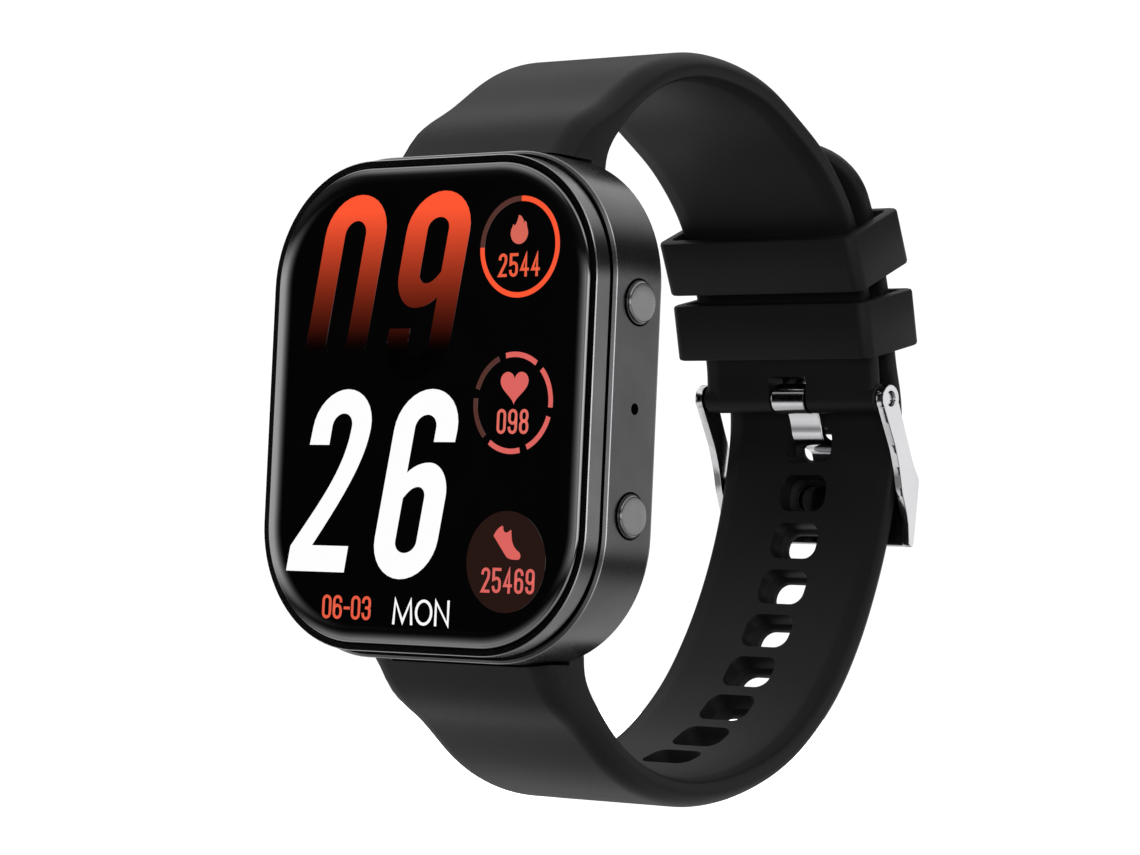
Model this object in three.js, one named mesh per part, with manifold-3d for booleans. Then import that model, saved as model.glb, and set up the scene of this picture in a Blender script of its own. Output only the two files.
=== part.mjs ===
// Rectangular smartwatch on a buckled silicone band. Millimetres.
// +X points to 3 o'clock, -Y out of the display, +Z to 12 o'clock.
// Depths are counted from the front frame's edge; the finished group is moved so that the
// crown of the sensor window is at the origin.
import * as THREE from "three";
import Module from "manifold-3d";

const wasm = await Module();
wasm.setup();

// ---- driving dimensions ----
const frameHalf = 20.05;      // front frame half width
const frameTall = 3.45;       // how much taller than wide every case outline is, per side
const frameCorner = 12.1;     // front frame corner radius
const bodyStep = 0.35;        // how far the case body stands outside the front frame
const frameBack = 2.0;        // back of the front frame's side
const bodyFront = 2.3;        // front rim of the case body
const bodyBack = 9.6;         // back rim of the case body
const backFace = 11.4;        // flat of the back cover
const wristFace = 12.0;       // crown of the sensor window, where the origin lies
const glassFront = -0.6;
const shelf = 0.75;           // ledge that carries the glass
const cavityHalf = 18.6;
const cavityTall = 0.6;
const buttonY = 5.95;
const buttonZ = 9.9;
const buttonRadius = 2.05;
const buttonFace = 20.95;
const barInset = 22.1;        // height of each lug spring bar
const barY = 7.7;
const tabHalf = 8.1;          // half width of the strap's lug tab
const strapHalf = 11;
const strapThick = 2.9;
const claspThick = 2.65;      // strap thickness where the two layers overlap
const arcY = 17.8;            // centre of the arc the straps follow through the keepers
const arcZ = 2.0;
const shortArc = 40.5;        // inner radius of the short strap in that arc
const longArc = 44.0;         // inner radius of the long strap
const keeperHalf = 12.6;
const keeperNear = 38.0;      // inner radius of a keeper
const keeperDeep = 10.05;
const keeperTall = 6.0;
const pivotY = 60.2;          // buckle bar axis
const pivotZ = 4.93;
const holePitch = 5.3;
const holeCount = 11;

// ---- solids ----
const solidOf = (geometry) => new wasm.Manifold(new wasm.Mesh({
  numProp: 3,
  vertProperties: new Float32Array(geometry.points.flat()),
  triVerts: new Uint32Array(geometry.faces.flat()),
}));

// Closed skin over rings of equal length, capped by a fan or by the given triangles at each end.
function skin(rings, caps) {
  const count = rings[0].length;
  const points = rings.flat();
  const faces = [];
  for (let k = 0; k + 1 < rings.length; k += 1) {
    for (let i = 0; i < count; i += 1) {
      const j = (i + 1) % count;
      const low = k * count;
      const high = low + count;
      faces.push([low + i, low + j, high + j], [low + i, high + j, high + i]);
    }
  }
  const top = (rings.length - 1) * count;
  if (caps) {
    for (const [a, b, c] of caps) faces.push([a, c, b], [top + a, top + b, top + c]);
  } else {
    const middle = (ring) => [0, 1, 2].map((a) => ring.reduce((s, p) => s + p[a], 0) / count);
    const first = points.push(middle(rings[0])) - 1;
    const last = points.push(middle(rings.at(-1))) - 1;
    for (let i = 0; i < count; i += 1) {
      const j = (i + 1) % count;
      faces.push([first, j, i], [last, top + i, top + j]);
    }
  }
  const volume = faces.reduce((sum, [a, b, c]) => {
    const [p, q, r] = [points[a], points[b], points[c]];
    return sum + p[0] * (q[1] * r[2] - q[2] * r[1]) - p[1] * (q[0] * r[2] - q[2] * r[0])
      + p[2] * (q[0] * r[1] - q[1] * r[0]);
  }, 0);
  return solidOf({ points, faces: volume > 0 ? faces : faces.map(([a, b, c]) => [a, c, b]) });
}

// Rounded rectangle as [u, v] pairs.
function roundRect(halfU, halfV, radius, steps = 8) {
  const corners = [[1, 1, 0], [-1, 1, 90], [-1, -1, 180], [1, -1, 270]];
  return corners.flatMap(([su, sv, start]) => Array.from({ length: steps + 1 }, (_, i) => {
    const angle = THREE.MathUtils.degToRad(start + (90 * i) / steps);
    return [su * (halfU - radius) + radius * Math.cos(angle),
      sv * (halfV - radius) + radius * Math.sin(angle)];
  }));
}

const circle = (radius, steps = 24) => Array.from({ length: steps }, (_, i) => {
  const angle = (2 * Math.PI * i) / steps;
  return [radius * Math.cos(angle), radius * Math.sin(angle)];
});

// Case outline at depth y, inset from the front frame's outline.
const caseRing = (y, inset, tall = frameTall) => {
  const half = frameHalf - inset;
  return roundRect(half, half + tall, Math.max(frameCorner - inset, 2), 10)
    .map(([x, z]) => [x, y, z]);
};
const caseStack = (layers, tall) => skin(layers.map(([y, inset]) => caseRing(y, inset, tall)));

// Block standing on the XZ plane: centre, size, and depth range along Y.
const block = (x, z, wide, high, y0, y1, radius = 0.3) => skin([y0, y1].map((y) => (
  roundRect(wide / 2, high / 2, radius, 3).map(([u, v]) => [x + u, y, z + v]))));

// Round piece along X or along Y, from [position, radius] pairs.
const turnedX = (y, z, profile, steps) => skin(profile.map(([x, r]) => (
  circle(r, steps).map(([u, v]) => [x, y + u, z + v]))));
const turnedY = (x, z, profile, steps) => skin(profile.map(([y, r]) => (
  circle(r, steps).map(([u, v]) => [x + u, y, z + v]))));

// Prism along X over an outline in the YZ plane.
function plateX(outline, x0, x1) {
  const flat = outline.map(([y, z]) => new THREE.Vector2(y, z));
  if (THREE.ShapeUtils.isClockWise(flat)) flat.reverse();
  const rings = [x0, x1].map((x) => flat.map((p) => [x, p.x, p.y]));
  return skin(rings, THREE.ShapeUtils.triangulateShape(flat, []));
}

const polar = (radius, degrees) => {
  const angle = THREE.MathUtils.degToRad(degrees);
  return [arcY + radius * Math.cos(angle), arcZ + radius * Math.sin(angle)];
};

// ---- output group ----
const watch = new THREE.Group();
const looks = {
  glass: [0x0b0b0d, 0.05, 0], display: [0x050505, 0.4, 0], adhesive: [0x161616, 0.8, 0],
  frameMetal: [0x6f7073, 0.35, 0.9], caseMetal: [0x5c5d60, 0.4, 0.9], rubber: [0x141414, 0.8, 0],
  back: [0x17181a, 0.5, 0], window: [0x08080a, 0.08, 0], board: [0x12402a, 0.6, 0],
  chip: [0xb9babd, 0.4, 0.9], led: [0x4fae5c, 0.3, 0], diode: [0x202024, 0.3, 0],
  contact: [0xc9a24b, 0.3, 1], screw: [0xa6a8ab, 0.35, 1], cell: [0x2b2d33, 0.5, 0.2],
  module: [0x3a3b3f, 0.5, 0.3], button: [0x808184, 0.35, 0.9], band: [0x232425, 0.75, 0],
  steel: [0xd7d9dc, 0.12, 1],
};

function add(name, look, solid) {
  const mesh = solid.getMesh();
  const geometry = new THREE.BufferGeometry();
  geometry.setAttribute("position", new THREE.Float32BufferAttribute(mesh.vertProperties, 3));
  geometry.setIndex(new THREE.Uint32BufferAttribute(mesh.triVerts, 1));
  geometry.translate(0, -wristFace, 0);
  const [color, roughness, metalness] = looks[look];
  const material = new THREE.MeshStandardMaterial({ color, roughness, metalness });
  const part = new THREE.Mesh(geometry, material);
  part.name = name;
  watch.add(part);
}

// ---- case ----
function addFront() {
  add("cover_glass", "glass", caseStack([
    [0.6, 0.75], [-0.05, 0.75], [-0.25, 0.95], [-0.42, 1.45], [-0.54, 2.15], [glassFront, 3.05],
  ]));
  add("glass_adhesive", "adhesive",
    caseStack([[0.6, 0.95], [shelf, 0.95]]).subtract(caseStack([[0, 2.05], [1, 2.05]])));
  add("touch_display", "display", caseStack([[0.6, 2.4], [1.6, 2.4]]));
  const frame = caseStack([[-0.2, 0.25], [0.05, 0], [frameBack, 0]])
    .add(caseStack([[1.5, 1.1], [3.4, 1.1]]));
  add("front_frame", "frameMetal", frame
    .subtract(caseStack([[-1, 0.63], [shelf, 0.63]]))
    .subtract(caseStack([[0, 2.15], [4, 2.15]])));
  add("frame_gasket", "rubber",
    caseStack([[frameBack, 0.45], [bodyFront, 0.45]]).subtract(caseStack([[1, 1.08], [3, 1.08]])));
}

const pillars = [[1, 1], [-1, 1], [-1, -1], [1, -1]].map(([sx, sz]) => [14.6 * sx, 15.1 * sz]);

function addBody() {
  const outer = [[bodyFront, 0.3 - bodyStep], [bodyFront + 0.3, -bodyStep],
    [bodyBack - 0.6, -bodyStep], [bodyBack, 0.6 - bodyStep]];
  let body = caseStack(outer, frameTall + 0.25)
    .subtract(caseStack([[2, 1.0], [4.2, 1.0]]));
  let cavity = caseStack([[4, frameHalf - cavityHalf], [10, frameHalf - cavityHalf]], cavityTall);
  for (const [x, z] of pillars) cavity = cavity.subtract(turnedY(x, z, [[3.9, 2.5], [10.1, 2.5]]));
  body = body.subtract(cavity);
  for (const [x, z] of pillars) body = body.subtract(turnedY(x, z, [[6.2, 0.6], [10, 0.6]], 16));
  for (const side of [1, -1]) {
    body = body.subtract(block(0, 22.5 * side, 2 * tabHalf + 0.6, 5, 5.4, 10, 0.6));
    body = body.subtract(turnedX(barY, barInset * side, [[-9.5, 0.5], [9.5, 0.5]], 16));
    body = body.subtract(turnedX(buttonY, buttonZ * side, [[19.2, buttonRadius + 0.2],
      [22, buttonRadius + 0.2]], 32));
    body = body.subtract(turnedX(buttonY, buttonZ * side, [[18, 1.3], [20, 1.3]], 24))
      .subtract(turnedX(buttonY, buttonZ * side, [[17.4, 1.8], [cavityHalf, 1.8]], 24));
  }
  add("case_body", "caseMetal", body.subtract(turnedX(buttonY, 0, [[18, 0.55], [22, 0.55]], 20)));
}

function addBack() {
  const land = (y0, y1, inset) => caseStack([[y0, inset], [y1, inset]], cavityTall);
  add("back_gasket", "rubber", land(bodyBack, bodyBack + 0.2, 0.85).subtract(land(9, 10, 1.4)));
  let back = caseStack([[bodyBack + 0.2, 0.75], [10.5, 0.75], [backFace, 1.75]], cavityTall)
    .subtract(turnedY(0, 0, [[9, 8.85], [12, 8.85]], 48));
  for (const [x, z] of pillars) {
    back = back.subtract(turnedY(x, z, [[9, 0.6], [12, 0.6]], 16))
      .subtract(turnedY(x, z, [[10.7, 1.05], [12, 1.05]], 20));
  }
  for (const side of [1, -1]) back = back.subtract(turnedY(3 * side, -13.2, [[9, 1.25], [12, 1.25]]));
  add("case_back", "back", back);
  add("sensor_window", "window", turnedY(0, 0, [[10.3, 8.8], [11.4, 8.8], [11.75, 8.2],
    [11.95, 6.5], [wristFace, 5.5]], 48));
  add("sensor_board", "board", turnedY(0, 0, [[8.8, 8], [9.3, 8]], 32));
  add("sensor_led_left", "led", block(-3, 0, 2, 1.6, 9.3, 10.0));
  add("sensor_led_right", "led", block(3, 0, 2, 1.6, 9.3, 10.0));
  add("photodiode_upper", "diode", block(0, 4, 3, 2.4, 9.3, 9.9));
  add("photodiode_lower", "diode", block(0, -4, 3, 2.4, 9.3, 9.9));
  add("charge_contact_left", "contact", turnedY(-3, -13.2, [[9.9, 1.2], [11.5, 1.2]]));
  add("charge_contact_right", "contact", turnedY(3, -13.2, [[9.9, 1.2], [11.5, 1.2]]));
  pillars.forEach(([x, z], i) => add(`back_screw_${i + 1}`, "screw",
    turnedY(x, z, [[6.6, 0.55], [10.7, 0.55]], 16).add(turnedY(x, z, [[10.7, 1], [11.3, 1]], 16))));
}

function addInside() {
  add("main_board", "board", caseStack([[2.3, 2.8], [3.1, 2.8]]));
  add("processor_shield", "chip", block(-5.8, 10.6, 11, 11, 3.1, 4.6));
  add("battery", "cell", block(-2, -4, 24, 16.8, 3.5, 8.2, 1.5));
  add("haptic_motor", "module", block(6.5, 10.5, 9.6, 7, 4.6, 8.0, 1));
  add("speaker", "module", block(-5.8, 10.5, 11, 9, 4.9, 8.2, 1));
  add("microphone", "module", block(17.6, 0, 2, 3, 4.7, 7.2));
}

function addButton(word, side) {
  const z = buttonZ * side;
  add(`button_${word}`, "button", turnedX(buttonY, z, [[19.75, buttonRadius],
    [buttonFace - 0.15, buttonRadius], [buttonFace, buttonRadius - 0.15]], 32)
    .add(turnedX(buttonY, z, [[17.6, 0.9], [19.9, 0.9]], 24)));
  add(`button_clip_${word}`, "screw", turnedX(buttonY, z, [[18.2, 1.6], [18.55, 1.6]], 24)
    .subtract(turnedX(buttonY, z, [[18, 0.92], [19, 0.92]], 24)));
  add(`button_seal_${word}`, "rubber", turnedX(buttonY, z, [[18.75, 1.28], [19.1, 1.28]], 24)
    .subtract(turnedX(buttonY, z, [[18, 0.93], [20, 0.93]], 24)));
  add(`button_switch_${word}`, "module", block(16.3, z, 1.6, 3, 4.6, 7.3));
}

// ---- band ----
const curveOf = (pairs) => new THREE.CatmullRomCurve3(
  pairs.map(([y, z]) => new THREE.Vector3(0, y, z)), false, "centripetal");

// Inner faces, from the case round to the free end.
const shortCurve = curveOf([[12.5, 22.4], [12.95, 25], [15.6, 28.3], [20.2, 31.8], [25.7, 33.75],
  [31.7, 34.0], [37.6, 32.9], [42.9, 30.4], [48.0, 27.3], polar(shortArc, 31), polar(shortArc, 23),
  polar(shortArc, 15), [58.25, 8.2], [58.65, 4.93]]);
const longCurve = curveOf([[12.5, -22.4], [12.95, -25], [15.1, -27.8], [19.6, -31.6], [24.6, -33.8],
  [30.8, -34.75], [38.4, -33.9], [46.1, -31.0], [52.3, -26.1], [56.4, -20.6], [59.5, -14.5],
  [61.5, -8.6], [62.6, -3.0], [63.05, 1.0], [62.75, 4.6], [61.5, 8.6], polar(longArc, 14.5),
  polar(longArc, 21), polar(longArc, 28), polar(longArc, 34), polar(longArc, 39.5)]);

// Position, outward normal and arc length of a curve at parameter u.
function frameAt(curve, u, outward) {
  const point = curve.getPointAt(u);
  const along = curve.getTangentAt(u);
  return { y: point.y, z: point.z, ny: -outward * along.z, nz: outward * along.y,
    ty: along.y, tz: along.z, s: u * curve.getLength() };
}

// Thick foot against the case, even body, thinner where the layers overlap.
function thickAt(s, length, thinFrom) {
  const foot = 5.6 * Math.max(0, 1 - s / 14) ** 4;
  const thin = THREE.MathUtils.smoothstep(s, thinFrom, thinFrom + 14);
  return foot + strapThick + (claspThick - strapThick) * thin;
}

// Half of a strap section as [x, depth] from the inner face to the outer face.
function halfSection(thick, half) {
  const edge = half - strapHalf;
  const round = Array.from({ length: 6 }, (_, i) => {
    const angle = (Math.PI / 2) * (i / 5);
    return [edge + strapHalf - 2.3 * (1 - Math.cos(angle)), thick - 1.8 * (1 - Math.sin(angle))];
  });
  return [[edge + 8.9, 0], [edge + 10.5, 0.28], [edge + 10.88, 0.5], ...round];
}

function strapRing(at, thick, half) {
  const side = halfSection(thick, half);
  const full = [...side, ...side.map(([x, d]) => [-x, d]).reverse()];
  return full.map(([x, d]) => [x, at.y + at.ny * d, at.z + at.nz * d]);
}

function strapLoft(curve, outward, stations, thinFrom, tipRadius) {
  const length = curve.getLength();
  const rings = Array.from({ length: stations + 1 }, (_, i) => {
    const at = frameAt(curve, i / stations, outward);
    const toEnd = Math.max(tipRadius - (length - at.s), 0);
    const half = strapHalf - tipRadius + Math.sqrt(Math.max(tipRadius ** 2 - toEnd ** 2, 0.04));
    return strapRing(at, thickAt(at.s, length, thinFrom), tipRadius ? half : strapHalf);
  });
  return skin(rings);
}

// Tab that fills the case's lug recess round its spring bar.
const lugTab = (side) => plateX(roundRect(1.9, 2.2, 1.6, 4)
  .map(([u, v]) => [barY + u, (22.55 + v) * side]), -tabHalf, tabHalf);
const caseClearance = () => caseStack([[0, -bodyStep - 0.25], [9.85, -bodyStep - 0.25]],
  frameTall + 0.25);
const lugBore = (side) => turnedX(barY, barInset * side, [[-10, 0.85], [10, 0.85]], 20);

function holeCutter(at, thick) {
  const layers = [[-0.6, 2.95, 2.0], [0, 2.95, 2.0], [1.7, 2.8, 1.85], [2.1, 2.35, 1.5],
    [thick + 0.6, 2.3, 1.4]];
  return skin(layers.map(([d, across, along]) => roundRect(across, along, Math.min(along, 1.35), 3)
    .map(([x, t]) => [x, at.y + at.ny * d + at.ty * t, at.z + at.nz * d + at.tz * t])));
}

function addStraps() {
  const barrel = turnedX(pivotY, pivotZ, [[-11.1, 1.55], [11.1, 1.55]], 28);
  const slot = plateX([[55, 7.15], [66, 7.15], [66, 0], [55, 0]], -2.4, 2.4);
  add("strap_short", "band", strapLoft(shortCurve, 1, 46, 40, 0)
    .subtract(caseClearance()).add(lugTab(1)).subtract(lugBore(1)).add(barrel)
    .subtract(turnedX(pivotY, pivotZ, [[-12, 0.85], [12, 0.85]], 20)).subtract(slot));

  const length = longCurve.getLength();
  let long = strapLoft(longCurve, -1, 72, 50, 6).subtract(caseClearance())
    .add(lugTab(-1)).subtract(lugBore(-1));
  // the tongue's hole is the one at its height; the others follow at the pitch
  let tongueHole = 0.5;
  while (longCurve.getPointAt(tongueHole).z < 0.2) tongueHole += 0.0005;
  for (let k = 0; k < holeCount; k += 1) {
    const u = tongueHole + ((2 - k) * holePitch) / length;
    long = long.subtract(holeCutter(frameAt(longCurve, u, -1), claspThick));
  }
  add("strap_long", "band", long);
}

function addLugBar(word, side) {
  const z = barInset * side;
  add(`lug_bar_${word}`, "steel", turnedX(barY, z, [[-7.6, 0.75], [7.6, 0.75]], 20)
    .subtract(turnedX(barY, z, [[-8, 0.45], [-3.8, 0.45]], 16))
    .subtract(turnedX(barY, z, [[3.8, 0.45], [8, 0.45]], 16)));
  for (const [hand, way] of [["left", -1], ["right", 1]]) {
    const ends = [[5.2 * way, 0.4], [9.1 * way, 0.4]];
    add(`lug_tip_${word}_${hand}`, "steel", turnedX(barY, z, ends, 16));
  }
}

// Rectangular loop round both strap layers, square to the arc at the given angle.
function addKeeper(name, degrees) {
  const radial = new THREE.Vector2(...polar(1, degrees)).sub(new THREE.Vector2(arcY, arcZ));
  const middle = polar(keeperNear + keeperDeep / 2, degrees);
  const ring = (halfX, shift, halfR, radius, w) => roundRect(halfX, halfR, radius, 5).map(([x, r]) => [
    x,
    middle[0] + radial.x * (r + shift) - radial.y * w,
    middle[1] + radial.y * (r + shift) + radial.x * w,
  ]);
  const half = keeperTall / 2;
  const outer = skin([[-half, 0.25], [0.25 - half, 0], [half - 0.25, 0], [half, 0.25]]
    .map(([w, inset]) => ring(keeperHalf - inset, 0, keeperDeep / 2 - inset, 1.2 - inset, w)));
  const inner = skin([-half - 1, half + 1]
    .map((w) => ring(keeperHalf - 1.25, 0.05, keeperDeep / 2 - 1.15, 0.6, w)));
  add(name, "band", outer.subtract(inner));
}

// ---- buckle ----
function addBuckle() {
  add("buckle_bar", "steel", turnedX(pivotY, pivotZ, [[-11.9, 0.8], [11.9, 0.8]], 24));
  const eye = circle(1.5, 28).map(([u, v]) => [pivotY + u, pivotZ + v]);
  const cheek = [[58.85, 4.3], [59.8, 2.7], [61.6, -0.35], [62.5, -2.6], [63.1, -4.8], [64.35, -7.6],
    [64.7, -10.3], [65.2, -10.5], [65.6, -10.1], [66.2, -3.6], [66.1, -3.1], [65.1, -1.9],
    [63.3, 1.5], [61.6, 4.95]];
  const bar = [[65.45, -3.2], [65.35, -4.0], [64.95, -7.2], [64.7, -10.3], [65.2, -10.5],
    [65.6, -10.1], [66.2, -3.6], [66.1, -3.1]];
  let frame = plateX(bar, -11.8, 11.8);
  for (const side of [1, -1]) {
    frame = frame.add(plateX(eye, 11.35 * side, 12.25 * side))
      .add(plateX(cheek, 11.35 * side, 12.25 * side));
  }
  add("buckle_frame", "steel", frame.subtract(
    turnedX(pivotY, pivotZ, [[-13, 0.85], [13, 0.85]], 24)));

  // front face of the tongue's strip, then its back face
  const strip = [[61.0, 3.75], [61.8, 3.2], [62.3, 2.3], [62.75, 1.0], [63.3, 0.35], [66.3, -0.45], [66.55, -1.0],
    [66.6, -3.6]];
  const back = [[67.0, -4.0], [67.35, -3.6], [67.3, -0.8], [66.85, 0.2], [63.8, 0.95], [63.35, 1.3],
    [62.9, 2.5], [62.4, 3.7], [61.6, 5.3]];
  add("buckle_tongue", "steel", plateX([...strip, ...back], -2.0, 2.0)
    .add(turnedX(pivotY, pivotZ, [[-2.15, 1.62], [2.15, 1.62]], 32))
    .subtract(turnedX(pivotY, pivotZ, [[-3, 0.85], [3, 0.85]], 24)));
}

addFront();
addBody();
addBack();
addInside();
addButton("upper", 1);
addButton("lower", -1);
addStraps();
addLugBar("upper", 1);
addLugBar("lower", -1);
addKeeper("keeper_upper", 25.1);
addKeeper("keeper_lower", 14.5);
addBuckle();

export default watch;
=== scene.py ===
import math
import bpy
from mathutils import Matrix, Vector


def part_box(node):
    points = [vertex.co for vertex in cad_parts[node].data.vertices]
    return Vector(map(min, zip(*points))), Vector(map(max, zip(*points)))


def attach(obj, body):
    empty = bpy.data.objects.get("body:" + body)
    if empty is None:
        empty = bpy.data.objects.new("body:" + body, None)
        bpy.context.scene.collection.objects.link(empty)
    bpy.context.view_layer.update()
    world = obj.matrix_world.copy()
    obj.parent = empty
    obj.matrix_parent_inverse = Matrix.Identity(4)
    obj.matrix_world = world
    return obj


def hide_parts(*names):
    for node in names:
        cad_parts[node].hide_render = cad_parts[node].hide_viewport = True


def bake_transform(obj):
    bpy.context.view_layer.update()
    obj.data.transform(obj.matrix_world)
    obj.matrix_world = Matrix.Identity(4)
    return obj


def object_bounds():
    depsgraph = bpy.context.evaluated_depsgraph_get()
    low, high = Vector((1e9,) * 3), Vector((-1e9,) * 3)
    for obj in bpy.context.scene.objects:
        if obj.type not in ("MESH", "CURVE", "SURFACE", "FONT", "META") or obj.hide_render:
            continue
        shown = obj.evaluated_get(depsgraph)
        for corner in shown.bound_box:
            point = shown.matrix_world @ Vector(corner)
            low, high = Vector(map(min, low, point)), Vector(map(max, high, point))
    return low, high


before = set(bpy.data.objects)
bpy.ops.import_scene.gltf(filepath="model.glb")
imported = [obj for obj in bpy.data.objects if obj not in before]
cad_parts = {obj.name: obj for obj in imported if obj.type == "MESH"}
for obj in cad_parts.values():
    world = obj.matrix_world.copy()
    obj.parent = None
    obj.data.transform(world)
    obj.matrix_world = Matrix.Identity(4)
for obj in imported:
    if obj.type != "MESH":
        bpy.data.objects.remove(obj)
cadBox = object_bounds()
print("frame loaded:", len(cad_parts), "nodes")

mm = 0.001
quarters = ((1, 1), (-1, 1), (-1, -1), (1, -1))
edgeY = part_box("front_frame")[0][1] + 0.2 * mm   # depths are counted from the front frame's edge


def at(x, depth, z):
    return Vector((x * mm, edgeY + depth * mm, z * mm))


camera = {
    "spot": (238.2, -275.4, -19.8),
    "right": (0.7811, 0.6229, 0.0439),
    "up": (-0.0031, -0.0666, 0.9977),
    "back": (0.6244, -0.7795, -0.0501),
    "lens": 121.86,
    "film": 36,
    "nearest": 0.01,
    "furthest": 20,
}


def makeCamera():
    data = bpy.data.cameras.new("camera")
    data.lens = camera["lens"]
    data.sensor_width = camera["film"]
    data.clip_start = camera["nearest"]
    data.clip_end = camera["furthest"]
    eye = bpy.data.objects.new("camera", data)
    axes = Matrix((camera["right"], camera["up"], camera["back"])).transposed()
    eye.matrix_world = Matrix.Translation(at(*camera["spot"])) @ axes.to_4x4()
    bpy.context.scene.collection.objects.link(eye)
    bpy.context.scene.camera = eye


makeCamera()
print("camera placed")


def linear(red, green, blue):
    def one(value):
        value /= 255
        return value / 12.92 if value <= 0.04045 else ((value + 0.055) / 1.055) ** 2.4
    return one(red), one(green), one(blue), 1.0


def newMaterial(name):
    material = bpy.data.materials.new(name)
    material.use_nodes = True
    nodes = material.node_tree.nodes
    return material, nodes, material.node_tree.links, nodes["Principled BSDF"]


# size is one blotch in millimetres
def noise(nodes, links, size, detail=2.0):
    place = nodes.new("ShaderNodeTexCoord")
    grain = nodes.new("ShaderNodeTexNoise")
    grain.inputs["Scale"].default_value = 1 / (size * mm)
    grain.inputs["Detail"].default_value = detail
    links.new(place.outputs["Object"], grain.inputs["Vector"])
    return grain.outputs["Fac"]


def spread(nodes, links, value, low, high):
    remap = nodes.new("ShaderNodeMapRange")
    remap.inputs["From Min"].default_value = 0.3
    remap.inputs["From Max"].default_value = 0.7
    remap.inputs["To Min"].default_value = low
    remap.inputs["To Max"].default_value = high
    links.new(value, remap.inputs["Value"])
    return remap.outputs["Result"]


def tint(nodes, links, value, first, second):
    ramp = nodes.new("ShaderNodeValToRGB")
    ramp.color_ramp.elements[0].position = 0.3
    ramp.color_ramp.elements[0].color = first
    ramp.color_ramp.elements[1].position = 0.7
    ramp.color_ramp.elements[1].color = second
    links.new(value, ramp.inputs["Fac"])
    return ramp.outputs["Color"]


def bump(nodes, links, shader, value, height):
    node = nodes.new("ShaderNodeBump")
    node.inputs["Distance"].default_value = height * mm
    node.inputs["Strength"].default_value = 1.0
    links.new(value, node.inputs["Height"])
    links.new(node.outputs["Normal"], shader.inputs["Normal"])


# one finish: colour drift, roughness drift and a fine surface grain
def grainy(name, look):
    material, nodes, links, shader = newMaterial(name)
    shader.inputs["Metallic"].default_value = look.get("metal", 0.0)
    shader.inputs["Specular IOR Level"].default_value = look.get("gloss", 0.5)
    shader.inputs["IOR"].default_value = look.get("ior", 1.5)
    shader.inputs["Coat Weight"].default_value = look.get("coat", 0.0)
    shader.inputs["Coat Roughness"].default_value = 0.1
    drift = noise(nodes, links, look.get("blotch", 6.0), 3.0)
    fine = noise(nodes, links, look["grain"])
    base = look["colour"]
    lift = look.get("drift", 0.12)
    darker = tuple(c * (1 - lift) for c in base) + (1,)
    lighter = tuple(c * (1 + lift) for c in base) + (1,)
    links.new(tint(nodes, links, drift, darker, lighter), shader.inputs["Base Color"])
    rough = look["rough"]
    vary = look.get("vary", 0.05)
    links.new(spread(nodes, links, fine, rough - vary, rough + vary), shader.inputs["Roughness"])
    bump(nodes, links, shader, fine, look.get("relief", 0.002))
    return material


looks = {
    "glass": {"colour": (0.0012, 0.0012, 0.0014), "rough": 0.035, "vary": 0.01, "gloss": 1.0, "ior": 1.75,
              "grain": 2.5, "relief": 0.0002},
    "frameMetal": {"colour": (0.09, 0.09, 0.092), "metal": 1.0, "rough": 0.22,
                   "grain": 0.09, "relief": 0.0012},
    # brighter copy of the frame and case metal: a painted highlight along the thin edge chamfers
    "paintedEdgeHighlight": {"colour": (0.25, 0.25, 0.255), "metal": 1.0, "rough": 0.22,
                  "grain": 0.12, "relief": 0.0006},
    "caseMetal": {"colour": (0.06, 0.06, 0.062), "metal": 1.0, "rough": 0.24,
                  "grain": 0.08, "relief": 0.002},
    "buttonMetal": {"colour": (0.15, 0.15, 0.153), "metal": 1.0, "rough": 0.24,
                    "grain": 0.07, "relief": 0.0012},
    "steel": {"colour": (0.45, 0.45, 0.46), "metal": 1.0, "rough": 0.16, "vary": 0.03, "drift": 0.03,
              "grain": 0.35, "relief": 0.0006},
    "band": {"colour": (0.0038, 0.0039, 0.0041), "rough": 0.5, "gloss": 0.1, "drift": 0.1, "blotch": 9.0,
             "grain": 0.11, "relief": 0.004},
    "seal": {"colour": (0.006, 0.006, 0.006), "rough": 0.7, "gloss": 0.2, "grain": 0.1, "relief": 0.003},
    "back": {"colour": (0.012, 0.012, 0.0125), "rough": 0.42, "grain": 0.09, "relief": 0.003},
    "window": {"colour": (0.003, 0.003, 0.0035), "rough": 0.06, "vary": 0.01, "coat": 0.3,
               "grain": 2.0, "relief": 0.0003},
}
finish = {name: grainy(name, look) for name, look in looks.items()}
print("finishes mixed:", len(finish))


def piece(name, points, faces, material, body, slot, nodes=(), smooth=35):
    mesh = bpy.data.meshes.new(name)
    mesh.from_pydata([tuple(p) for p in points], [], faces)
    mesh.materials.append(material)
    obj = bpy.data.objects.new(name, mesh)
    bpy.context.scene.collection.objects.link(obj)
    if smooth:
        soften(obj, smooth)
    if body:
        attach(obj, body)
    if nodes:
        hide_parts(*nodes)
    return obj


def soften(obj, angle):
    obj.data.shade_smooth()
    obj.data.set_sharp_from_angle(angle=math.radians(angle))


# closed skin over rings of equal length: capped at both ends, or joined last to first
def skin(rings, loop=False):
    count = len(rings[0])
    points = [p for ring in rings for p in ring]
    faces = []
    for k in range(len(rings) if loop else len(rings) - 1):
        low = k * count
        high = ((k + 1) % len(rings)) * count
        for i in range(count):
            j = (i + 1) % count
            faces.append((low + i, low + j, high + j, high + i))
    if not loop:
        faces.append(tuple(reversed(range(count))))
        faces.append(tuple(range(len(points) - count, len(points))))
    return points, outward(points, faces)


def outward(points, faces):
    volume = 0.0
    for face in faces:
        a = points[face[0]]
        for i in range(1, len(face) - 1):
            volume += a.dot(points[face[i]].cross(points[face[i + 1]]))
    return faces if volume > 0 else [tuple(reversed(face)) for face in faces]


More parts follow.
